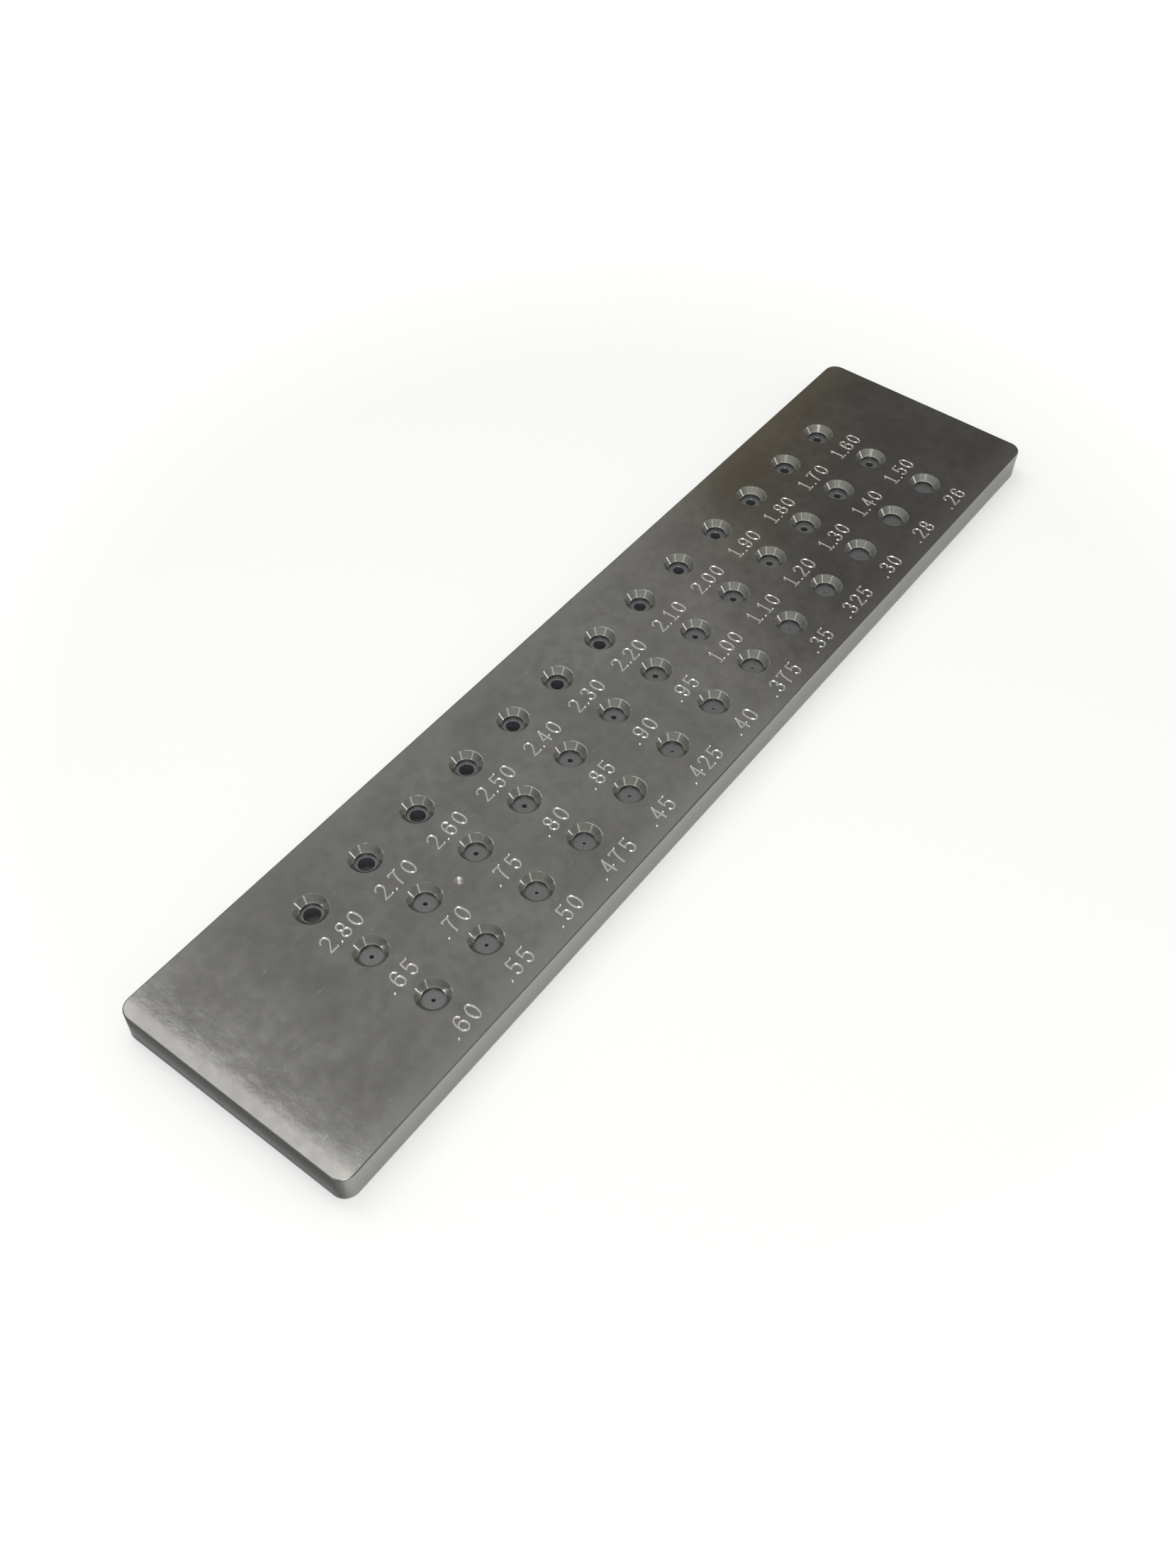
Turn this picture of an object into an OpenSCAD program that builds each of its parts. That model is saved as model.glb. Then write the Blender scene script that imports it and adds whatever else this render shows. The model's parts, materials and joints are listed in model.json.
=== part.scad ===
// Wire draw plate: a flat steel bar that holds three rows of hard metal dies.
// Wire is pushed point first into a die from the back and drawn out of the numbered face.
// Sizes are in millimetres. The origin lies under the middle of the bar, on its back face.
// +X runs along the bar from the blank end, +Y towards the coarse row, +Z out of the numbered face.

/* [Bar] */
// Length of the bar
bar_length = 200; // [195:1:260]
// Width of the bar
bar_width = 45; // [42:0.5:80]
// Thickness of the bar
bar_thickness = 6; // [5.5:0.1:10]
// Radius of the four upright corners
corner_radius = 2.5; // [1:0.1:6]
// Bevel that breaks the sharp edges of both faces
edge_break = 0.25; // [0.1:0.05:0.8]
// Width of the shallow slope ground along the blank end of the numbered face
end_slope_width = 5.2; // [1:0.1:8]
// Depth of that slope at the end of the bar
end_slope_depth = 0.1; // [0.05:0.05:0.6]

/* [Hole pattern] */
// Distance between neighbouring holes, along the bar and across it
hole_pitch = 12.3; // [8:0.1:13]
// Distance from the blank end to the first column of holes
first_column = 30.3; // [10:0.1:40]

/* [Hole section] */
// Diameter of the countersink at the numbered face
sink_diameter = 5.75; // [5:0.05:7]
// Included angle of the countersink, in degrees
sink_angle = 82; // [60:1:100]
// Diameter of the straight throat between countersink and die
throat_diameter = 3.75; // [3.6:0.05:4.7]
// Length of the straight throat
throat_length = 0.5; // [0.2:0.05:0.8]
// Diameter of the bevelled mouth on the back, where the die was pressed in
mouth_diameter = 5.8; // [5.2:0.05:7]
// Radial clearance between a die and its seat, where zero is a press fit
seat_clearance = 0; // [0:0.005:0.05]

/* [Dies] */
// Outer diameter of every die
die_diameter = 5; // [4.8:0.05:5.6]
// Length of every die
die_length = 3.2; // [2.6:0.1:3.8]
// Bevel on the outer edges of a die
die_bevel = 0.1; // [0.05:0.05:0.3]
// Included angle of the taper that reduces the wire, in degrees
approach_angle = 16; // [8:1:24]
// Height of the flared entry at the back of a die
entry_height = 0.6; // [0.3:0.05:0.8]
// Included angle of the flared entry, in degrees
entry_angle = 90; // [60:1:100]
// Bevel where the wire leaves a die
exit_bevel = 0.15; // [0.05:0.05:0.3]
// Length of the straight bearing as a multiple of the bore
bearing_ratio = 0.35; // [0.2:0.05:0.5]
// Shortest bearing of any die
bearing_min = 0.4; // [0.2:0.05:0.8]

/* [Bore sizes] */
// Largest bore, at the blank end of the coarse row
bore_largest = 2.8; // [2:0.05:3]
// Bore where the wide steps end
bore_wide_end = 1; // [0.8:0.05:1.5]
// Bore where the middle steps end
bore_middle_end = 0.5; // [0.4:0.01:0.7]
// Bore where the close steps end
bore_close_end = 0.3; // [0.28:0.01:0.38]
// Smallest bore, at the far end of the fine row
bore_smallest = 0.26; // [0.15:0.01:0.27]

/* [Hidden] */
$fn = 64;
// How far a cutting shape reaches past the face that it opens
cut_margin = 1;
ROWS = ["coarse", "middle", "fine"];
COLUMNS = 13;
// Steps between the named bores, from the largest bore down
WIDE_STEPS = 18;
MIDDLE_STEPS = 10;
CLOSE_STEPS = 8;
LAST_STEPS = 2;

// Heights above the back face
sink_depth = (sink_diameter - throat_diameter) / 2 / tan(sink_angle / 2);
throat_top = bar_thickness - sink_depth;
die_top = throat_top - throat_length;
die_base = die_top - die_length;
seat_diameter = die_diameter + 2 * seat_clearance;
mouth_depth = (mouth_diameter - seat_diameter) / 2;

// The bores from the largest down, in even steps between the named ones
function steps(from, to, count) = [for (i = [1 : count]) from + (to - from) * i / count];
bores = concat(
    [bore_largest],
    steps(bore_largest, bore_wide_end, WIDE_STEPS),
    steps(bore_wide_end, bore_middle_end, MIDDLE_STEPS),
    steps(bore_middle_end, bore_close_end, CLOSE_STEPS),
    steps(bore_close_end, bore_smallest, LAST_STEPS)
);

// The sizes run along the first row, back along the second and along the third again
function along_row(row, column) = row % 2 == 0 ? column : COLUMNS - 1 - column;
function bore_at(row, column) = bores[row * COLUMNS + along_row(row, column)];
function hole_place(row, column) = [
    first_column - bar_length / 2 + column * hole_pitch,
    ((len(ROWS) - 1) / 2 - row) * hole_pitch,
    0
];
function bearing_length(bore) = max(bearing_min, bearing_ratio * bore);

// Dies are numbered from the blank end, with two digits
function die_name(row, column) = str(ROWS[row], "_die_", column < 9 ? "0" : "", column + 1);
DIE_NAMES = [for (row = [0 : len(ROWS) - 1]) for (column = [0 : COLUMNS - 1]) die_name(row, column)];

// Outline of a bar of a given width seen from its end, with all four edges bevelled
module bevelled_section(width) {
    side = width / 2;
    polygon([
        [-side + edge_break, 0],
        [side - edge_break, 0],
        [side, edge_break],
        [side, bar_thickness - edge_break],
        [side - edge_break, bar_thickness],
        [-side + edge_break, bar_thickness],
        [-side, bar_thickness - edge_break],
        [-side, edge_break]
    ]);
}

// One rounded upright corner, bevelled like the straight edges that it joins
module corner_post() {
    rotate_extrude()
        intersection() {
            bevelled_section(2 * corner_radius);
            square([corner_radius, bar_thickness]);
        }
}

// The bar before it is drilled
module bar_blank() {
    straight_length = bar_length - 2 * corner_radius;
    straight_width = bar_width - 2 * corner_radius;
    rotate([90, 0, 90])
        linear_extrude(straight_length, center = true)
            bevelled_section(bar_width);
    rotate([90, 0, 0])
        linear_extrude(straight_width, center = true)
            bevelled_section(bar_length);
    for (x = [-1, 1], y = [-1, 1])
        translate([x * straight_length / 2, y * straight_width / 2, 0])
            corner_post();
}

// Wedge ground off along the blank end of the numbered face
module end_slope() {
    fall = end_slope_depth / end_slope_width;
    rise = fall * cut_margin;
    translate([-bar_length / 2, 0, bar_thickness])
        rotate([90, 0, 0])
            linear_extrude(bar_width + 2 * cut_margin, center = true)
                polygon([
                    [-cut_margin, -end_slope_depth - rise],
                    [end_slope_width + cut_margin, rise],
                    [-cut_margin, rise]
                ]);
}

// Everything that is bored away for one die: mouth, seat, throat and countersink
module die_hole() {
    rotate_extrude()
        polygon([
            [0, -cut_margin],
            [mouth_diameter / 2, -cut_margin],
            [mouth_diameter / 2, 0],
            [seat_diameter / 2, mouth_depth],
            [seat_diameter / 2, die_top],
            [throat_diameter / 2, die_top],
            [throat_diameter / 2, throat_top],
            [sink_diameter / 2, bar_thickness],
            [sink_diameter / 2, bar_thickness + cut_margin],
            [0, bar_thickness + cut_margin]
        ]);
}

// The steel bar with its seats
module plate() {
    color("#6c6b68")
        difference() {
            bar_blank();
            end_slope();
            for (row = [0 : len(ROWS) - 1], column = [0 : COLUMNS - 1])
                translate(hole_place(row, column))
                    die_hole();
        }
}

// One hard metal die: flared entry, taper, straight bearing and bevelled exit, from the back up
module die(bore) {
    wall = die_diameter / 2;
    bearing_top = die_top - exit_bevel;
    bearing_base = bearing_top - bearing_length(bore);
    entry_top = die_base + entry_height;
    taper_radius = bore / 2 + (bearing_base - entry_top) * tan(approach_angle / 2);
    entry_radius = taper_radius + entry_height * tan(entry_angle / 2);
    color("#5b5d5e")
        rotate_extrude()
            polygon([
                [entry_radius, die_base],
                [wall - die_bevel, die_base],
                [wall, die_base + die_bevel],
                [wall, die_top - die_bevel],
                [wall - die_bevel, die_top],
                [bore / 2 + exit_bevel, die_top],
                [bore / 2, bearing_top],
                [bore / 2, bearing_base],
                [taper_radius, entry_top]
            ]);
}

plate();
for (row = [0 : len(ROWS) - 1], column = [0 : COLUMNS - 1])
    translate(hole_place(row, column))
            die(bore_at(row, column));
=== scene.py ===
# Wire draw plate: one ground steel bar with 39 hard metal dies and the size of each engraved beside it.
# Lengths are in millimetres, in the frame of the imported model, until a piece is finished in metres.
import json
import math
import bmesh
import bpy
from mathutils import Matrix, Quaternion, Vector


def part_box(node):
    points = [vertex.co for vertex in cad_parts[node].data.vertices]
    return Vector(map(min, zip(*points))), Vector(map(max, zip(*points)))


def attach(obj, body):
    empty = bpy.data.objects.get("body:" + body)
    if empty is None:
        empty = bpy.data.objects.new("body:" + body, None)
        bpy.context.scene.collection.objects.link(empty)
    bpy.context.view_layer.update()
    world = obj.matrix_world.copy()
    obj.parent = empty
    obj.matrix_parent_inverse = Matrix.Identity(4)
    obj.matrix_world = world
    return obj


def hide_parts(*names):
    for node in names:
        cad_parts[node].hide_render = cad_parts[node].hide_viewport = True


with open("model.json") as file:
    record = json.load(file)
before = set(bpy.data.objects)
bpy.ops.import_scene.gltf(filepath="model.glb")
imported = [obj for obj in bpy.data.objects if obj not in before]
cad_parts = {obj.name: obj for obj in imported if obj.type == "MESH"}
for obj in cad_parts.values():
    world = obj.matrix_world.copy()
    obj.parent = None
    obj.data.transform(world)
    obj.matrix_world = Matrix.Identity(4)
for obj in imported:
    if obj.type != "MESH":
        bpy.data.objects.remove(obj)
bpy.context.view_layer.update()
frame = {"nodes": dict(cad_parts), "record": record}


# The bar: a flat of tool steel, cut to length with rounded upright corners and ground on every face.
# A belt has broken its edges and rolled the numbered face off along the blank end.
MM = 0.001
bar_low, bar_high = (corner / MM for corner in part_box("plate"))
corner_radius = 2.5
corner_steps = 14
edge_break = 0.25
edge_steps = 5
end_relief = 0.55
slope_width = 5.2
slope_tilt = 0.045
slope_steps = 12
weld_distance = 0.001
quarter_turn = math.radians(90)


def outline(inset, face, rise):
    """One ring of the bar's outline: drawn in by inset, and raised from a face, less so at the ends."""
    points = []
    for quarter, (x, y) in enumerate(((1, 1), (0, 1), (0, 0), (1, 0))):
        centre_x = bar_high.x - corner_radius if x else bar_low.x + corner_radius
        centre_y = bar_high.y - corner_radius if y else bar_low.y + corner_radius
        for step in range(corner_steps + 1):
            angle = quarter_turn * (quarter + step / corner_steps)
            across = (corner_radius - inset) * math.cos(angle)
            along = (corner_radius - inset) * math.sin(angle)
            height = face + rise * (1 - end_relief * math.cos(angle) ** 2)
            points.append((centre_x + across, centre_y + along, height))
    return points


edge_turns = [quarter_turn * step / edge_steps for step in range(edge_steps + 1)]
rings = [outline(edge_break * (1 - math.sin(a)), 0, edge_break * (1 - math.cos(a))) for a in edge_turns]
rings += [
    outline(edge_break * (1 - math.cos(a)), bar_high.z, edge_break * (math.sin(a) - 1)) for a in edge_turns
]
bar_bm = bmesh.new()
loops = [[bar_bm.verts.new(point) for point in ring] for ring in rings]
for lower, upper in zip(loops, loops[1:]):
    for i in range(len(lower)):
        bar_bm.faces.new((lower[i - 1], lower[i], upper[i], upper[i - 1]))
bar_bm.faces.new(reversed(loops[0]))
bar_bm.faces.new(loops[-1])
for step in range(slope_steps):
    bmesh.ops.bisect_plane(
        bar_bm,
        geom=bar_bm.verts[:] + bar_bm.edges[:] + bar_bm.faces[:],
        plane_co=(bar_low.x + slope_width * (1 - step / slope_steps), 0, 0),
        plane_no=(1, 0, 0),
    )
for vert in bar_bm.verts:
    bent = max(0, bar_low.x + slope_width - vert.co.x) / slope_width
    if vert.co.z > bar_high.z - edge_break - weld_distance:
        vert.co.z -= slope_tilt * slope_width * (bent**3 - bent**4 / 2)
bar_mesh = bpy.data.meshes.new("bar")
bar_bm.to_mesh(bar_mesh)
bar_bm.free()
bar = bpy.data.objects.new("ground_bar", bar_mesh)
bpy.context.scene.collection.objects.link(bar)


def linear(code):
    """An sRGB hex colour as linear RGBA."""
    parts = [int(code[i : i + 2], 16) / 255 for i in (1, 3, 5)]
    return [c / 12.92 if c <= 0.04045 else ((c + 0.055) / 1.055) ** 2.4 for c in parts] + [1]


def add(tree, kind, inputs=(), **settings):
    """Adds a node: settings are its fields, and inputs give a socket a value or a node's output."""
    node = tree.nodes.new(kind)
    for name, value in settings.items():
        setattr(node, name, value)
    for socket, value in dict(inputs).items():
        if isinstance(value, bpy.types.NodeSocket):
            tree.links.new(value, node.inputs[socket])
        else:
            node.inputs[socket].default_value = value
    return node


def new_material(name, **sockets):
    """A material whose one shader has these constant sockets set, and its node tree and shader."""
    material = bpy.data.materials.new(name)
    material.use_nodes = True
    shader = material.node_tree.nodes["Principled BSDF"]
    for socket, value in sockets.items():
        shader.inputs[socket.replace("_", " ")].default_value = value
    return material, material.node_tree, shader


# Ground tool steel: a wheel has run along the bar and left marks about 0.1 mm apart, drawn three times as
# coarse, to show. A belt has left it a little wavy, more so by the blank end. Handling has left clouds,
# specks and short scratches, and polished the long edges. The sides are painted lighter and the cut ends
# darker, as painted light and shade, and the broken edges at both ends carry a painted highlight.
line_length = 45
line_width = 0.3
line_depth = 0.0012
wave_size = 2.2
wave_depth = 0.013
end_depth = 0.022
end_matt = 0.05
end_reach = 20
cloud_size = 12
speck_size = 0.5
scratch_length = 2.4
scratch_width = 0.1
scratch_turns = (-7, 19)
polish_width = 5.5
face_reach = 0.9
steel_matt = (0.12, 0.16)
matt_band = (0.3, 0.7)
# Of a noise that runs from 0 to 1, the part over which each mark fades in.
streak_band = (0.3, 0.7)
cloud_band = (0.32, 0.68)
hollow_band = (0.6, 0.35)
speck_band = (0.74, 0.8)
scratch_band = (0.84, 0.92)
ground_steel, tree, shader = new_material("ground_tool_steel", Metallic=1, Specular_Tint=linear("#c9c9c9"))
place = add(tree, "ShaderNodeTexCoord").outputs["Object"]
drawn_out = add(
    tree,
    "ShaderNodeVectorMath",
    {0: place, 1: (1 / (line_length * MM), 1 / (line_width * MM), 1 / (line_width * MM))},
    operation="MULTIPLY",
)
lines = add(tree, "ShaderNodeTexNoise", {"Vector": drawn_out.outputs[0], "Scale": 1, "Detail": 3})
waves = add(tree, "ShaderNodeTexNoise", {"Vector": place, "Scale": 1 / (wave_size * MM), "Detail": 3})
clouds = add(tree, "ShaderNodeTexNoise", {"Vector": place, "Scale": 1 / (cloud_size * MM), "Detail": 4})
specks = add(tree, "ShaderNodeTexNoise", {"Vector": place, "Scale": 1 / (speck_size * MM), "Detail": 2})
streak, cloud, hollow, speck = (
    add(tree, "ShaderNodeMapRange", {"Value": noise.outputs[0], "From Min": band[0], "From Max": band[1]})
    for noise, band in (
        (lines, streak_band),
        (clouds, cloud_band),
        (waves, hollow_band),
        (specks, speck_band),
    )
)
scratched = []
for turn in scratch_turns:
    aside = add(tree, "ShaderNodeMapping", {"Vector": place, "Rotation": (0, 0, math.radians(turn))})
    drawn = add(
        tree,
        "ShaderNodeVectorMath",
        {0: aside.outputs[0], 1: (1 / (scratch_length * MM), 1 / (scratch_width * MM), 1 / MM)},
        operation="MULTIPLY",
    )
    marks = add(tree, "ShaderNodeTexNoise", {"Vector": drawn.outputs[0], "Scale": 1, "Detail": 0})
    mark = add(
        tree,
        "ShaderNodeMapRange",
        {"Value": marks.outputs[0], "From Min": scratch_band[0], "From Max": scratch_band[1]},
    )
    scratched.append(mark.outputs[0])
scratch = add(tree, "ShaderNodeMath", {0: scratched[0], 1: scratched[1]}, operation="MAXIMUM")
signed = add(tree, "ShaderNodeSeparateXYZ", {0: place})
coarse_edge = add(
    tree,
    "ShaderNodeMapRange",
    {
        "Value": signed.outputs["Y"],
        "From Min": (bar_high.y - polish_width) * MM,
        "From Max": bar_high.y * MM,
    },
    interpolation_type="SMOOTHSTEP",
)
fine_edge = add(
    tree,
    "ShaderNodeMapRange",
    {
        "Value": signed.outputs["Y"],
        "From Min": (bar_low.y + polish_width) * MM,
        "From Max": bar_low.y * MM,
    },
    interpolation_type="SMOOTHSTEP",
)
distance = add(tree, "ShaderNodeVectorMath", {0: place}, operation="ABSOLUTE")
spread = add(tree, "ShaderNodeSeparateXYZ", {0: distance.outputs[0]})
below = add(
    tree,
    "ShaderNodeMapRange",
    {
        "Value": signed.outputs["Z"],
        "From Min": (bar_high.z - edge_break / 2) * MM,
        "From Max": (bar_high.z - edge_break) * MM,
    },
)
by_side = add(
    tree,
    "ShaderNodeMapRange",
    {
        "Value": spread.outputs["Y"],
        "From Min": (bar_high.y - face_reach) * MM,
        "From Max": bar_high.y * MM,
    },
)
by_end = add(
    tree,
    "ShaderNodeMapRange",
    {
        "Value": spread.outputs["X"],
        "From Min": (bar_high.x - face_reach) * MM,
        "From Max": bar_high.x * MM,
    },
)
# Painted light on the long sides and painted shade on the cut ends: their tones stand in for how light
# falls.
side_painted_light = add(tree, "ShaderNodeMath", {0: by_side.outputs[0], 1: below.outputs[0]}, operation="MULTIPLY")
end_painted_shade = add(tree, "ShaderNodeMath", {0: by_end.outputs[0], 1: below.outputs[0]}, operation="MULTIPLY")
# Painted highlight: the broken edges at both ends are painted lighter, where they catch the light.
end_edge_highlight = add(
    tree,
    "ShaderNodeMapRange",
    {
        "Value": spread.outputs["X"],
        "From Min": (bar_high.x - edge_break) * MM,
        "From Max": (bar_high.x - edge_break / 2) * MM,
    },
)
steel = add(
    tree,
    "ShaderNodeMix",
    {0: cloud.outputs[0], 6: linear("#767574"), 7: linear("#858482")},
    data_type="RGBA",
)
for amount, share, colour in (
    (streak, 0.1, "#8d8c88"),
    (hollow, 0.4, "#6c6b6a"),
    (coarse_edge, 0.35, "#8f8e8a"),
    (fine_edge, 0.75, "#8f8e8a"),
    (end_edge_highlight, 0.8, "#9b9a95"),
    (side_painted_light, 1, "#acaba7"),
    (end_painted_shade, 1, "#545351"),
    (speck, 0.8, "#b5b4ae"),
    (scratch, 0.8, "#bdbcb6"),
):
    part = add(tree, "ShaderNodeMath", {0: amount.outputs[0], 1: share}, operation="MULTIPLY")
    steel = add(
        tree,
        "ShaderNodeMix",
        {0: part.outputs[0], 6: steel.outputs[2], 7: linear(colour)},
        data_type="RGBA",
    )
tree.links.new(steel.outputs[2], shader.inputs["Base Color"])
matt = add(
    tree,
    "ShaderNodeMapRange",
    {
        "Value": clouds.outputs[0],
        "From Min": matt_band[0],
        "From Max": matt_band[1],
        "To Min": steel_matt[0],
        "To Max": steel_matt[1],
    },
)
near_end = add(
    tree,
    "ShaderNodeMapRange",
    {"Value": signed.outputs["X"], "From Min": (bar_low.x + end_reach) * MM, "From Max": bar_low.x * MM},
)
matt = add(
    tree,
    "ShaderNodeMath",
    {0: near_end.outputs[0], 1: end_matt, 2: matt.outputs[0]},
    operation="MULTIPLY_ADD",
)
tree.links.new(matt.outputs[0], shader.inputs["Roughness"])
depth = add(
    tree,
    "ShaderNodeMath",
    {0: near_end.outputs[0], 1: end_depth, 2: wave_depth},
    operation="MULTIPLY_ADD",
)
swell = add(tree, "ShaderNodeMath", {0: waves.outputs[0], 1: depth.outputs[0]}, operation="MULTIPLY")
height = add(
    tree,
    "ShaderNodeMath",
    {0: lines.outputs[0], 1: line_depth, 2: swell.outputs[0]},
    operation="MULTIPLY_ADD",
)
relief = add(tree, "ShaderNodeBump", {"Height": height.outputs[0], "Strength": 1, "Distance": MM})
tree.links.new(relief.outputs[0], shader.inputs["Normal"])
bar_mesh.materials.append(ground_steel)


# The die holes: a countersink turned smooth, a short throat, and the seat that a die was pressed into.
# All are bored right through the bar, square to its faces, and the rims are lightly broken.
bores = {}
for mount in frame["record"]["mounts"]:
    if mount["kind"] == "bore":
        hole = Vector(mount["pos_m"][:2]) / MM
        bores[hole.freeze()] = 2 * mount["dims"]["r_mm"]
die_low, die_high = (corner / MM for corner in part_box("coarse_die_01"))
die_radius = (die_high.x - die_low.x) / 2
sink_radius = 2.875
throat_radius = 1.875
throat_length = 0.5
mouth_radius = 2.9
rim_break = 0.02
rim_flare = 3
hole_steps = 96
overcut = 1


def turned(name, profile, steps):
    """A solid turned from (radius, height) points that run round its section or from axis to axis."""
    bm = bmesh.new()
    verts = [bm.verts.new((radius, 0, height)) for radius, height in profile]
    edges = [bm.edges.new(pair) for pair in zip(verts, verts[1:])]
    if profile[0][0]:
        edges.append(bm.edges.new((verts[-1], verts[0])))
    bmesh.ops.spin(bm, geom=verts + edges, axis=(0, 0, 1), cent=(0, 0, 0), angle=math.tau, steps=steps)
    bmesh.ops.remove_doubles(bm, verts=bm.verts, dist=weld_distance)
    bmesh.ops.recalc_face_normals(bm, faces=bm.faces)
    mesh = bpy.data.meshes.new(name)
    bm.to_mesh(mesh)
    bm.free()
    return bpy.data.objects.new(name, mesh)


drill = turned(
    "drill",
    [
        (0, -overcut),
        (mouth_radius + overcut, -overcut),
        (die_radius, mouth_radius - die_radius),
        (die_radius, die_high.z),
        (throat_radius, die_high.z),
        (throat_radius, die_high.z + throat_length),
        (sink_radius, bar_high.z - rim_break),
        (sink_radius + rim_flare * (rim_break + overcut), bar_high.z + overcut),
        (0, bar_high.z + overcut),
    ],
    hole_steps,
)
places_mesh = bpy.data.meshes.new("hole_places")
places_mesh.from_pydata([(hole.x, hole.y, 0) for hole in bores], [], [])
places = bpy.data.objects.new("hole_places", places_mesh)


def geometry_tree(name, **kinds):
    """A tree from geometry to geometry with more named inputs, and its first and last node."""
    tree = bpy.data.node_groups.new(name, "GeometryNodeTree")
    tree.interface.new_socket("Geometry", in_out="INPUT", socket_type="NodeSocketGeometry")
    for socket, kind in kinds.items():
        tree.interface.new_socket(socket, in_out="INPUT", socket_type="NodeSocket" + kind)
    tree.interface.new_socket("Geometry", in_out="OUTPUT", socket_type="NodeSocketGeometry")
    return tree, tree.nodes.new("NodeGroupInput").outputs, tree.nodes.new("NodeGroupOutput").inputs


def use_tree(piece, tree, **values):
    """Puts the tree on a piece as a modifier and sets its inputs, found by their identifiers."""
    modifier = piece.modifiers.new(tree.name, "NODES")
    modifier.node_group = tree
    for item in tree.interface.items_tree:
        if item.in_out == "INPUT" and item.name in values:
            modifier[item.identifier] = values[item.name]


# Turned steel: a cutter has left fine rings round each cone, and a tight shine that a film of oil dulls.
# The rings are about 0.04 mm apart and drawn twice as coarse, to show. The foot of the cone is painted
# lighter, a painted highlight, and the throat below it is painted darker, as painted shade.
ring_pitch = 0.09
ring_depth = 0.0006
ring_band = (0.3, 0.7)
turned_matt = (0.04, 0.2)
throat_top = die_high.z + throat_length
highlight_width = 0.24
highlight_full = 0.08
turned_steel, tree, shader = new_material("turned_steel", Metallic=0.75, Specular_Tint=linear("#d8d8d8"))
place = add(tree, "ShaderNodeTexCoord").outputs["Object"]
height = add(tree, "ShaderNodeSeparateXYZ", {0: place})
depth = add(
    tree,
    "ShaderNodeMath",
    {0: height.outputs["Z"], 1: 1 / (ring_pitch * MM)},
    operation="MULTIPLY",
)
tool_rings = add(
    tree, "ShaderNodeTexNoise", {"W": depth.outputs[0], "Scale": 1, "Detail": 2}, noise_dimensions="1D"
)
ring = add(
    tree,
    "ShaderNodeMapRange",
    {"Value": tool_rings.outputs[0], "From Min": ring_band[0], "From Max": ring_band[1]},
)
bright = add(
    tree,
    "ShaderNodeMix",
    {0: ring.outputs[0], 6: linear("#96958f"), 7: linear("#a09f9a")},
    data_type="RGBA",
)
# Painted highlight: the foot of the cone, just above the throat, is painted lighter.
throat_painted_light = add(
    tree,
    "ShaderNodeMapRange",
    {
        "Value": height.outputs["Z"],
        "From Min": (throat_top + highlight_width) * MM,
        "From Max": (throat_top + highlight_full) * MM,
    },
)
bright = add(
    tree,
    "ShaderNodeMix",
    {0: throat_painted_light.outputs[0], 6: bright.outputs[2], 7: linear("#b9b8b2")},
    data_type="RGBA",
)
# Painted shade: the throat, a recess below the cone, is painted darker.
throat_painted_shade = add(
    tree,
    "ShaderNodeMath",
    {0: height.outputs["Z"], 1: (throat_top - rim_break) * MM},
    operation="LESS_THAN",
)
bright = add(
    tree,
    "ShaderNodeMix",
    {0: throat_painted_shade.outputs[0], 6: bright.outputs[2], 7: linear("#6a6967")},
    data_type="RGBA",
)
tree.links.new(bright.outputs[2], shader.inputs["Base Color"])
matt = add(
    tree,
    "ShaderNodeMapRange",
    {
        "Value": tool_rings.outputs[0],
        "From Min": ring_band[0],
        "From Max": ring_band[1],
        "To Min": turned_matt[0],
        "To Max": turned_matt[1],
    },
)
tree.links.new(matt.outputs[0], shader.inputs["Roughness"])
relief = add(
    tree, "ShaderNodeBump", {"Height": tool_rings.outputs[0], "Strength": 1, "Distance": ring_depth * MM}
)
tree.links.new(relief.outputs[0], shader.inputs["Normal"])


def cut(tree, given, tools, mark):
    """Cuts the tools from the given solid, gives the new walls their finish and returns the result."""
    marked = add(
        tree,
        "GeometryNodeStoreNamedAttribute",
        {"Geometry": tools, "Name": mark, "Value": True},
        data_type="BOOLEAN",
        domain="FACE",
    )
    left = add(
        tree,
        "GeometryNodeMeshBoolean",
        {"Mesh 1": given["Geometry"], "Mesh 2": marked.outputs["Geometry"]},
        operation="DIFFERENCE",
        solver="MANIFOLD",
    )
    whole = add(tree, "GeometryNodeRealizeInstances", {"Geometry": left.outputs["Mesh"]})
    walls = add(tree, "GeometryNodeInputNamedAttribute", {"Name": mark}, data_type="BOOLEAN")
    finished = add(
        tree,
        "GeometryNodeSetMaterial",
        {
            "Geometry": whole.outputs["Geometry"],
            "Selection": walls.outputs["Attribute"],
            "Material": given["Finish"],
        },
    )
    return finished.outputs["Geometry"]


boring, given, result = geometry_tree("bored_holes", Drill="Object", Places="Object", Finish="Material")
drill_shape = add(boring, "GeometryNodeObjectInfo", {"Object": given["Drill"]})
hole_points = add(boring, "GeometryNodeObjectInfo", {"Object": given["Places"]})
drills = add(
    boring,
    "GeometryNodeInstanceOnPoints",
    {"Points": hole_points.outputs["Geometry"], "Instance": drill_shape.outputs["Geometry"]},
)
bored = cut(boring, given, drills.outputs["Instances"], "bored")
boring.links.new(bored, result["Geometry"])
use_tree(bar, boring, Drill=drill, Places=places, Finish=turned_steel)


# The dies: short plugs of sintered tungsten carbide, ground to a press fit and pushed in from the back.
# The wire's way is a flared entry, a taper, a straight bearing of the engraved size and a bevelled exit.
die_bevel = 0.1
approach_angle = math.radians(16)
entry_height = 0.6
exit_bevel = 0.06
bearing_ratio = 0.35
bearing_min = 0.4
die_steps = 64
die_edge_angle = math.radians(25)
flat_limit = 0.00001

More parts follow.
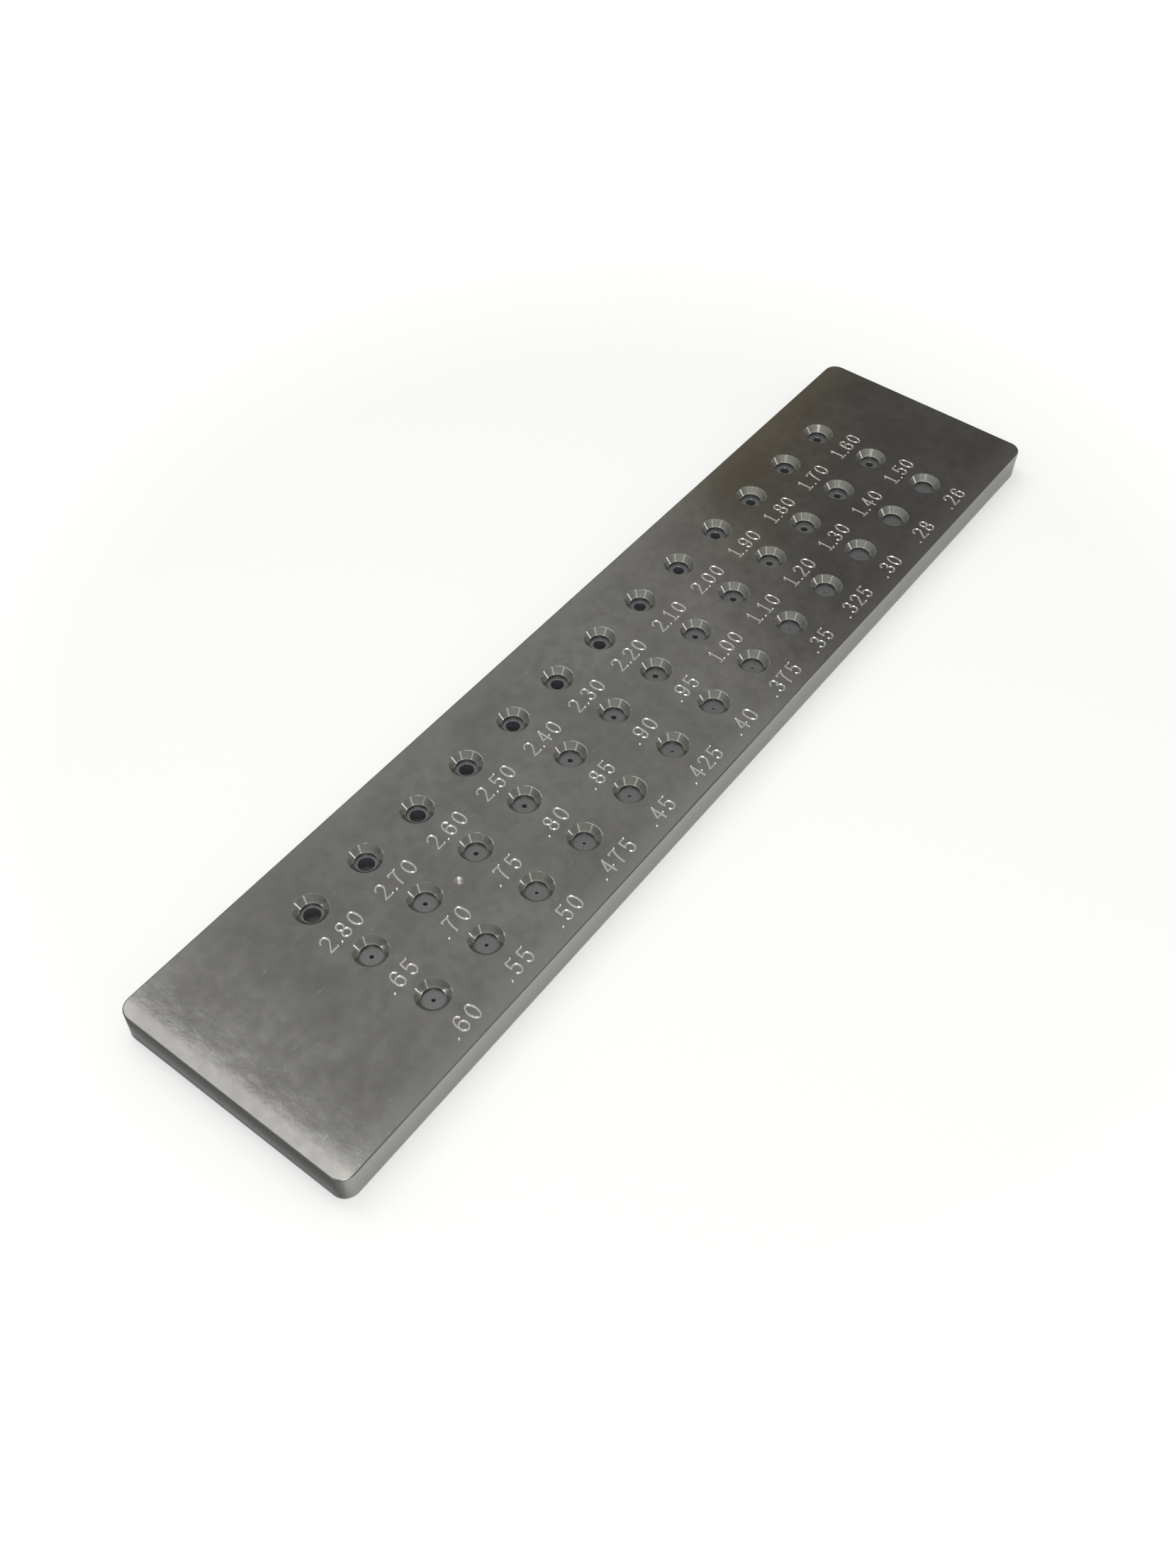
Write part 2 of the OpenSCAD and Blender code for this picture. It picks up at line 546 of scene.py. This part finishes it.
# Lapped carbide: hard grains in a metal binder, which mirror less than steel, ground flat to an even, dark,
# slightly blue grey. The grain is too fine to see and is drawn at 0.25 mm, to show.
grain_size = 0.25
grain_band = (0.3, 0.7)
lapped_matt = (0.26, 0.44)
lapped_carbide, tree, shader = new_material("lapped_tungsten_carbide", Metallic=0.6)
place = add(tree, "ShaderNodeTexCoord").outputs["Object"]
grains = add(tree, "ShaderNodeTexNoise", {"Vector": place, "Scale": 1 / (grain_size * MM), "Detail": 3})
grain = add(
    tree,
    "ShaderNodeMapRange",
    {"Value": grains.outputs[0], "From Min": grain_band[0], "From Max": grain_band[1]},
)
grey = add(
    tree,
    "ShaderNodeMix",
    {0: grain.outputs[0], 6: linear("#6a6b6b"), 7: linear("#747575")},
    data_type="RGBA",
)
tree.links.new(grey.outputs[2], shader.inputs["Base Color"])
matt = add(
    tree,
    "ShaderNodeMapRange",
    {"Value": grains.outputs[0], "To Min": lapped_matt[0], "To Max": lapped_matt[1]},
)
tree.links.new(matt.outputs[0], shader.inputs["Roughness"])

# Polished carbide: the wire's way is finished with diamond paste along its length, to a soft shine.
# Drawing wax has left a haze on it, in patches of about 0.4 mm. Its grey is painted lighter than the
# lapped face, as painted light in the deep bores.
haze_size = 0.4
polished_matt = (0.25, 0.4)
polished_carbide, tree, shader = new_material("polished_tungsten_carbide", Metallic=0.6)
place = add(tree, "ShaderNodeTexCoord").outputs["Object"]
hazes = add(tree, "ShaderNodeTexNoise", {"Vector": place, "Scale": 1 / (haze_size * MM), "Detail": 2})
# Painted light: the bore's grey is set lighter than the lapped carbide, so the deep bores are not dark.
grey = add(
    tree,
    "ShaderNodeMix",
    {0: hazes.outputs[0], 6: linear("#7d8083"), 7: linear("#8c9093")},
    data_type="RGBA",
)
tree.links.new(grey.outputs[2], shader.inputs["Base Color"])
matt = add(
    tree,
    "ShaderNodeMapRange",
    {"Value": hazes.outputs[0], "To Min": polished_matt[0], "To Max": polished_matt[1]},
)
tree.links.new(matt.outputs[0], shader.inputs["Roughness"])

die_nodes = [name for name in frame["nodes"] if "_die_" in name]
for node in die_nodes:
    middle = sum(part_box(node), Vector()) / 2 / MM
    hole = min(bores, key=lambda place: (place - middle.xy).length)
    bore = bores[hole]
    bearing_top = die_high.z - exit_bevel
    bearing_base = bearing_top - max(bearing_min, bearing_ratio * bore)
    entry_top = die_low.z + entry_height
    taper_radius = bore / 2 + (bearing_base - entry_top) * math.tan(approach_angle / 2)
    die = turned(
        f"{node}_carbide",
        [
            (taper_radius + entry_height, die_low.z),
            (die_radius - die_bevel, die_low.z),
            (die_radius, die_low.z + die_bevel),
            (die_radius, die_high.z - die_bevel),
            (die_radius - die_bevel, die_high.z),
            (bore / 2 + exit_bevel, die_high.z),
            (bore / 2, bearing_top),
            (bore / 2, bearing_base),
            (taper_radius, entry_top),
        ],
        die_steps,
    )
    bpy.context.scene.collection.objects.link(die)
    die.data.transform(Matrix.Translation((hole.x, hole.y, 0)))
    die.data.materials.append(lapped_carbide)
    die.data.materials.append(polished_carbide)
    die.data.shade_smooth()
    die.data.set_sharp_from_angle(angle=die_edge_angle)
    for polygon in die.data.polygons:
        outward = polygon.normal.xy.dot(polygon.center.xy - hole)
        polygon.material_index = outward < -flat_limit
    die.data.transform(Matrix.Scale(MM, 4))
    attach(die, "root")
    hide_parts(node)


# The sizes: each hole's bore in millimetres, cut beside it with a pointed tool that follows single strokes.
# The groove is a shallow V, painted bright as a painted highlight, with a pit at each end of a stroke.
# A punch has left one deeper mark near the middle row.
digit_height = 2.8
digit_half = 0.76
digit_step = 2.62
point_gap = 0.78
first_point_gap = 2.17
baseline_drop = 7.87
last_digit = {4: 2.88, 3: 1.4}
groove_half = 0.18
groove_depth = 0.085
groove_floor = 0.06
groove_rise = 0.06
stop_size = (1.06, 1.06, 1.06)
point_size = (1.25, 1.25, 1.15)
pit_steps = 18
arc_step = 12
punch_mark = (-51.7, -2.1)
punch_size = (4.4, 4.4, 5)


def arc(centre_x, centre_y, radius_x, radius_y, first, last):
    """Points along part of an ellipse, from one angle to another in degrees."""
    count = max(2, round(abs(last - first) / arc_step))
    angles = [math.radians(first + (last - first) * i / count) for i in range(count + 1)]
    return [(centre_x + radius_x * math.cos(a), centre_y + radius_y * math.sin(a)) for a in angles]


def straight(*points):
    """One straight stroke between each point and the next, so that a sharp corner starts a new stroke."""
    return [list(pair) for pair in zip(points, points[1:])]


def half_turned(strokes):
    """The same strokes, upside down, as a nine is a six."""
    return [[(-x, digit_height - y) for x, y in stroke] for stroke in strokes]


six = [
    arc(0, 0.86, digit_half - 0.02, 0.86, 0, 360),
    arc(0.02, 1.4, digit_half, 1.4, 38, 180) + [(-digit_half + 0.02, 0.9)],
]
digit_strokes = {
    "0": [arc(0, 1.4, digit_half, 1.4, 0, 360)],
    "1": straight((-0.45, 2.4), (0, 2.8), (0, 0)) + straight((-0.55, 0), (0.6, 0)),
    "2": [arc(0, 2.03, 0.72, 0.77, 170, -40) + [(-0.76, 0)]] + straight((-0.76, 0), (0.76, 0)),
    "3": [arc(0, 2.12, 0.62, 0.68, 165, -80), arc(0, 0.72, 0.74, 0.72, 80, -160)],
    "4": straight((0.3, 0), (0.3, 2.8), (-0.76, 0.92), (0.78, 0.92)),
    "5": straight((0.68, 2.8), (-0.48, 2.8), (-0.58, 1.5)) + [arc(0, 0.88, 0.74, 0.88, 142, -150)],
    "6": six,
    "7": straight((-0.76, 2.55), (-0.76, 2.8), (0.74, 2.8)) + [arc(2.6, 0, 2.85, 4.2, 138.2, 180)],
    "8": [arc(0, 2.1, 0.6, 0.7, 0, 360), arc(0, 0.7, 0.74, 0.7, 0, 360)],
    "9": half_turned(six),
}
strokes, pits = [], []
for hole, bore in bores.items():
    size = f"{bore:.3f}".lstrip("0")
    size = size[:-1] if size.endswith("0") else size
    across = hole.x + last_digit[len(size)]
    foot = hole.y - baseline_drop
    for place in range(len(size) - 1, -1, -1):
        if size[place] == ".":
            across += (digit_step - point_gap) / 2 if place else digit_step - first_point_gap
            pits.append(((across, foot, bar_high.z), point_size))
            across -= (digit_step + point_gap) / 2
            continue
        for stroke in digit_strokes[size[place]]:
            path = [(across + x, foot + y, bar_high.z) for x, y in stroke]
            strokes.append(path)
            if math.dist(path[0], path[-1]) > groove_half:
                pits += [(path[0], stop_size), (path[-1], stop_size)]
        across -= digit_step
pits.append(((*punch_mark, bar_high.z), punch_size))

paths_curve = bpy.data.curves.new("engraving_paths", "CURVE")
paths_curve.dimensions = "3D"
for path in strokes:
    closed = math.dist(path[0], path[-1]) < weld_distance
    points = path[:-1] if closed else path
    spline = paths_curve.splines.new("POLY")
    spline.points.add(len(points) - 1)
    spline.points.foreach_set("co", [value for point in points for value in (*point, 1)])
    spline.use_cyclic_u = closed
paths = bpy.data.objects.new("engraving_paths", paths_curve)
pits_mesh = bpy.data.meshes.new("engraving_pits")
pits_mesh.from_pydata([place for place, size in pits], [], [])
pit_sizes = pits_mesh.attributes.new("pit_size", "FLOAT_VECTOR", "POINT")
pit_sizes.data.foreach_set("vector", [value for place, size in pits for value in size])
pit_points = bpy.data.objects.new("engraving_pits", pits_mesh)

# Cut steel: the tool has pressed and dragged its way, so a groove is clean metal, and its grey is painted
# far lighter than the face, as a painted highlight. Its chatter, about 0.2 mm long, breaks the shine up.
chatter_size = 0.2
chatter_band = (0.3, 0.7)
cut_matt = (0.15, 0.28)
cut_steel, tree, shader = new_material("cut_steel", Metallic=1)
place = add(tree, "ShaderNodeTexCoord").outputs["Object"]
chatters = add(
    tree, "ShaderNodeTexNoise", {"Vector": place, "Scale": 1 / (chatter_size * MM), "Detail": 1}
)
chatter = add(
    tree,
    "ShaderNodeMapRange",
    {"Value": chatters.outputs[0], "From Min": chatter_band[0], "From Max": chatter_band[1]},
)
# Painted highlight: the groove's grey is set far lighter than the ground face.
bright = add(
    tree,
    "ShaderNodeMix",
    {0: chatter.outputs[0], 6: linear("#c8c7c1"), 7: linear("#d6d5cf")},
    data_type="RGBA",
)
tree.links.new(bright.outputs[2], shader.inputs["Base Color"])
matt = add(
    tree,
    "ShaderNodeMapRange",
    {"Value": chatters.outputs[0], "To Min": cut_matt[0], "To Max": cut_matt[1]},
)
tree.links.new(matt.outputs[0], shader.inputs["Roughness"])

engraving, given, result = geometry_tree(
    "engraved_sizes",
    Paths="Object",
    Pits="Object",
    Half_width="Float",
    Depth="Float",
    Floor="Float",
    Rise="Float",
    Finish="Material",
)
all_paths = add(engraving, "GeometryNodeObjectInfo", {"Object": given["Paths"]})
upright = add(
    engraving, "GeometryNodeSetCurveNormal", {"Curve": all_paths.outputs["Geometry"]}, mode="Z_UP"
)
counter = add(engraving, "GeometryNodeInputIndex")
one_each = add(
    engraving,
    "GeometryNodeSplitToInstances",
    {"Geometry": upright.outputs["Curve"], "Group ID": counter.outputs["Index"]},
    domain="CURVE",
)
flare = add(
    engraving, "ShaderNodeMath", {0: given["Half_width"], 1: given["Floor"]}, operation="SUBTRACT"
)
steepness = add(
    engraving, "ShaderNodeMath", {0: flare.outputs[0], 1: given["Depth"]}, operation="DIVIDE"
)
top_half = add(
    engraving,
    "ShaderNodeMath",
    {0: steepness.outputs[0], 1: given["Rise"], 2: given["Half_width"]},
    operation="MULTIPLY_ADD",
)
top_width = add(engraving, "ShaderNodeMath", {0: top_half.outputs[0], 1: 2}, operation="MULTIPLY")
floor_width = add(engraving, "ShaderNodeMath", {0: given["Floor"], 1: 2}, operation="MULTIPLY")
tool_height = add(
    engraving, "ShaderNodeMath", {0: given["Depth"], 1: given["Rise"]}, operation="ADD"
)
tool_middle = add(
    engraving, "ShaderNodeMath", {0: given["Depth"], 1: given["Rise"]}, operation="SUBTRACT"
)
tool_shift = add(
    engraving, "ShaderNodeMath", {0: tool_middle.outputs[0], 1: 2}, operation="DIVIDE"
)
section = add(
    engraving,
    "GeometryNodeCurvePrimitiveQuadrilateral",
    {
        "Height": tool_height.outputs[0],
        "Bottom Width": top_width.outputs[0],
        "Top Width": floor_width.outputs[0],
        "Offset": 0,
    },
    mode="TRAPEZOID",
)
shift_vector = add(engraving, "ShaderNodeCombineXYZ", {"Y": tool_shift.outputs[0]})
tool_section = add(
    engraving,
    "GeometryNodeTransform",
    {"Geometry": section.outputs["Curve"], "Translation": shift_vector.outputs[0]},
)
grooves = add(
    engraving,
    "GeometryNodeCurveToMesh",
    {
        "Curve": one_each.outputs["Instances"],
        "Profile Curve": tool_section.outputs["Geometry"],
        "Fill Caps": True,
    },
)
point = add(
    engraving,
    "GeometryNodeMeshCone",
    {
        "Vertices": pit_steps,
        "Radius Top": top_half.outputs[0],
        "Radius Bottom": given["Floor"],
        "Depth": tool_height.outputs[0],
    },
)
lowered = add(engraving, "ShaderNodeMath", {0: given["Depth"], 1: -1}, operation="MULTIPLY")
lowered_vector = add(engraving, "ShaderNodeCombineXYZ", {"Z": lowered.outputs[0]})
tool_point = add(
    engraving,
    "GeometryNodeTransform",
    {"Geometry": point.outputs["Mesh"], "Translation": lowered_vector.outputs[0]},
)
pit_places = add(engraving, "GeometryNodeObjectInfo", {"Object": given["Pits"]})
pit_size = add(
    engraving, "GeometryNodeInputNamedAttribute", {"Name": "pit_size"}, data_type="FLOAT_VECTOR"
)
pit_shapes = add(
    engraving,
    "GeometryNodeInstanceOnPoints",
    {
        "Points": pit_places.outputs["Geometry"],
        "Instance": tool_point.outputs["Geometry"],
        "Scale": pit_size.outputs["Attribute"],
    },
)
all_cuts = add(engraving, "GeometryNodeJoinGeometry")
engraving.links.new(grooves.outputs["Mesh"], all_cuts.inputs[0])
engraving.links.new(pit_shapes.outputs["Instances"], all_cuts.inputs[0])
engraved = cut(engraving, given, all_cuts.outputs["Geometry"], "engraved")
engraving.links.new(engraved, result["Geometry"])
use_tree(
    bar,
    engraving,
    Paths=paths,
    Pits=pit_points,
    Half_width=groove_half,
    Depth=groove_depth,
    Floor=groove_floor,
    Rise=groove_rise,
    Finish=cut_steel,
)

# All cuts are made, so the bar becomes one plain mesh in metres, with its level faces shaded flat.
bar_edge_angle = math.radians(21)
flat_face = 0.9999
evaluated_bar = bar.evaluated_get(bpy.context.evaluated_depsgraph_get())
finished_mesh = bpy.data.meshes.new_from_object(evaluated_bar)
bar.modifiers.clear()
bar.data = finished_mesh
finished_mesh.transform(Matrix.Scale(MM, 4))
finished_mesh.shade_smooth()
finished_mesh.set_sharp_from_angle(angle=bar_edge_angle)
for polygon in finished_mesh.polygons:
    polygon.use_smooth = abs(polygon.normal.z) < flat_face
for tool in (drill, places, paths, pit_points):
    bpy.data.objects.remove(tool)
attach(bar, "root")
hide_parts("plate")


# The stage: a sheet of white paper in a plain room that is bright overhead and darker beyond the bar.
# One softbox hangs above and one stands in front, for the face and the numbers. A lamp at the right and
# the two edges of a window draw the bright lines on the walls of the holes.
floor_half = 3
floor_lift = 0.18
lift_start = 0.1
lift_end = 0.5
under_bar = 0.93
under_lift = 0.028
floor_mesh = bpy.data.meshes.new("floor")
floor_corners = [(x * floor_half, y * floor_half, 0) for x, y in ((-1, -1), (1, -1), (1, 1), (-1, 1))]
floor_mesh.from_pydata(floor_corners, [], [(0, 1, 2, 3)])
floor = bpy.data.objects.new("floor", floor_mesh)
bpy.context.scene.collection.objects.link(floor)

# White paper: matt and even, so it keeps the bar's soft shadow. Where it is seen or mirrored it is lifted
# to white, more so further out. Under the bar, where only the bores show it, it is painted dark grey,
# as painted shade.
paper, tree, shader = new_material("white_paper", Roughness=0.9, Emission_Color=(1, 1, 1, 1))
floor_mesh.materials.append(paper)
rays = add(tree, "ShaderNodeLightPath")
seen = add(
    tree,
    "ShaderNodeMath",
    {0: rays.outputs["Is Camera Ray"], 1: rays.outputs["Is Glossy Ray"]},
    operation="MAXIMUM",
)
seen = add(
    tree,
    "ShaderNodeMath",
    {0: seen.outputs[0], 1: rays.outputs["Is Transmission Ray"]},
    operation="MAXIMUM",
)
place = add(tree, "ShaderNodeTexCoord").outputs["Object"]
measured = add(
    tree,
    "ShaderNodeVectorMath",
    {0: place, 1: (1 / (bar_high.x * under_bar * MM), 1 / (bar_high.y * under_bar * MM), 1)},
    operation="MULTIPLY",
)
measured = add(tree, "ShaderNodeVectorMath", {0: measured.outputs[0]}, operation="ABSOLUTE")
measured = add(tree, "ShaderNodeSeparateXYZ", {0: measured.outputs[0]})
reach = add(
    tree,
    "ShaderNodeMath",
    {0: measured.outputs["X"], 1: measured.outputs["Y"]},
    operation="MAXIMUM",
)
open_floor = add(tree, "ShaderNodeMath", {0: reach.outputs[0], 1: 1}, operation="GREATER_THAN")
# Painted shade: the paper under the bar's footprint is painted dark grey instead of white.
white = add(
    tree,
    "ShaderNodeMix",
    {0: open_floor.outputs[0], 6: linear("#484848"), 7: linear("#f4f4f4")},
    data_type="RGBA",
)
tree.links.new(white.outputs[2], shader.inputs["Base Color"])
spread = add(tree, "ShaderNodeVectorMath", {0: place}, operation="LENGTH")
lift = add(
    tree,
    "ShaderNodeMapRange",
    {
        "Value": spread.outputs["Value"],
        "From Min": lift_start,
        "From Max": lift_end,
        "To Min": floor_lift,
    },
)
lift = add(
    tree,
    "ShaderNodeMix",
    {0: open_floor.outputs[0], 2: under_lift, 3: lift.outputs[0]},
    data_type="FLOAT",
)
lift = add(tree, "ShaderNodeMath", {0: seen.outputs[0], 1: lift.outputs[0]}, operation="MULTIPLY")
tree.links.new(lift.outputs[0], shader.inputs["Emission Strength"])


def direction(azimuth, elevation):
    """The unit vector towards an azimuth from +X and an elevation, in degrees."""
    a, e = math.radians(azimuth), math.radians(elevation)
    return Vector((math.cos(e) * math.cos(a), math.cos(e) * math.sin(a), math.sin(e)))


# The room: grey beyond the far end, with a warm part to the left, and bright overhead. Elsewhere it fades
# towards the floor and is a little dimmer on the camera's side. The camera sees it white, and so does the
# steel along the horizon.
grey_wall = direction(-15, 0)
grey_band = (0.51, 0.55)
warm_band = (0.31, 0.38)
fade_band = (0.75, 0.1)
beyond_bar = direction(40, 0)
beyond_band = (0.1, 0.35)
behind_share = 0.72
horizon_band = (0.08, 0.04)
room = bpy.data.worlds.new("room")
bpy.context.scene.world = room
room.use_nodes = True
tree = room.node_tree
towards = add(tree, "ShaderNodeTexCoord").outputs["Generated"]
heading = add(tree, "ShaderNodeSeparateXYZ", {0: towards})
to_wall = add(tree, "ShaderNodeVectorMath", {0: towards, 1: grey_wall}, operation="DOT_PRODUCT")
beyond = add(tree, "ShaderNodeVectorMath", {0: towards, 1: beyond_bar}, operation="DOT_PRODUCT")
dim, warm, low = (
    add(
        tree,
        "ShaderNodeMapRange",
        {"Value": value, "From Min": band[0], "From Max": band[1]},
        interpolation_type="SMOOTHSTEP",
    )
    for value, band in (
        (to_wall.outputs["Value"], grey_band),
        (heading.outputs["Y"], warm_band),
        (heading.outputs["Z"], fade_band),
    )
)
wall = add(
    tree,
    "ShaderNodeMix",
    {0: warm.outputs[0], 6: (0.30, 0.295, 0.29, 1), 7: (0.40, 0.35, 0.25, 1)},
    data_type="RGBA",
)
near_side = add(
    tree,
    "ShaderNodeMix",
    {0: low.outputs[0], 6: (0.74, 0.74, 0.72, 1), 7: (0.12, 0.12, 0.12, 1)},
    data_type="RGBA",
)
share = add(
    tree,
    "ShaderNodeMapRange",
    {
        "Value": beyond.outputs["Value"],
        "From Min": beyond_band[0],
        "From Max": beyond_band[1],
        "To Min": behind_share,
    },
    interpolation_type="SMOOTHSTEP",
)
near_side = add(
    tree,
    "ShaderNodeVectorMath",
    {0: near_side.outputs[2], "Scale": share.outputs[0]},
    operation="SCALE",
)
light = add(
    tree,
    "ShaderNodeMix",
    {0: dim.outputs[0], 6: near_side.outputs[0], 7: wall.outputs[2]},
    data_type="RGBA",
)
rays = add(tree, "ShaderNodeLightPath")
horizon = add(
    tree,
    "ShaderNodeMapRange",
    {"Value": heading.outputs["Z"], "From Min": horizon_band[0], "From Max": horizon_band[1]},
)
mirrored = add(
    tree,
    "ShaderNodeMath",
    {0: rays.outputs["Is Glossy Ray"], 1: horizon.outputs[0]},
    operation="MULTIPLY",
)
seen = add(
    tree,
    "ShaderNodeMath",
    {0: rays.outputs["Is Camera Ray"], 1: rays.outputs["Is Transmission Ray"]},
    operation="MAXIMUM",
)
seen = add(tree, "ShaderNodeMath", {0: seen.outputs[0], 1: mirrored.outputs[0]}, operation="MAXIMUM")
light = add(
    tree,
    "ShaderNodeMix",
    {0: seen.outputs[0], 6: light.outputs[2], 7: (1, 1, 1, 1)},
    data_type="RGBA",
)
tree.links.new(light.outputs[2], tree.nodes["Background"].inputs["Color"])

# Each lamp: azimuth and elevation in degrees, then distance, width and height in metres, and radiance.
for name, azimuth, elevation, distance, width, height, radiance in (
    ("overhead_softbox", 92, 67, 0.9, 0.24, 0.7, 1.8),
    ("front_softbox", -142, 62, 1.0, 0.34, 0.4, 8),
    ("right_lamp", -48, 14, 1.0, 0.08, 0.26, 4),
    ("window_edge_right", -107, 31, 1.0, 0.08, 0.33, 1.6),
    ("window_edge_left", 174, 34, 1.0, 0.08, 0.31, 1.4),
):
    lamp = bpy.data.lights.new(name, "AREA")
    lamp.shape = "RECTANGLE"
    lamp.size, lamp.size_y = width, height
    lamp.energy = radiance * math.pi * width * height
    lamp_object = bpy.data.objects.new(name, lamp)
    bpy.context.scene.collection.objects.link(lamp_object)
    lamp_object.location = direction(azimuth, elevation) * distance
    lamp_object.rotation_euler = direction(azimuth, elevation).to_track_quat("Z", "Y").to_euler()


# The camera stands where the photograph was taken from: over the blank end, to the right of the bar.
# Its place, aim, roll and lens were fitted to the rims of the holes and the corners of the bar.
camera = bpy.data.cameras.new("camera")
camera.sensor_width = 36
camera.lens = 35.06
camera.clip_start = 0.01
camera_object = bpy.data.objects.new("camera", camera)
bpy.context.scene.collection.objects.link(camera_object)
camera_place = Vector((-152.1, -97.8, 201)) * MM
camera_aim = Vector((-23.8, -6.2, 6)) * MM
camera_roll = math.radians(-2.1)
camera_object.location = camera_place
level = (camera_aim - camera_place).to_track_quat("-Z", "Y")
camera_object.rotation_euler = (level @ Quaternion((0, 0, 1), -camera_roll)).to_euler()
bpy.context.scene.camera = camera_object
bpy.context.scene.view_settings.view_transform = "Standard"
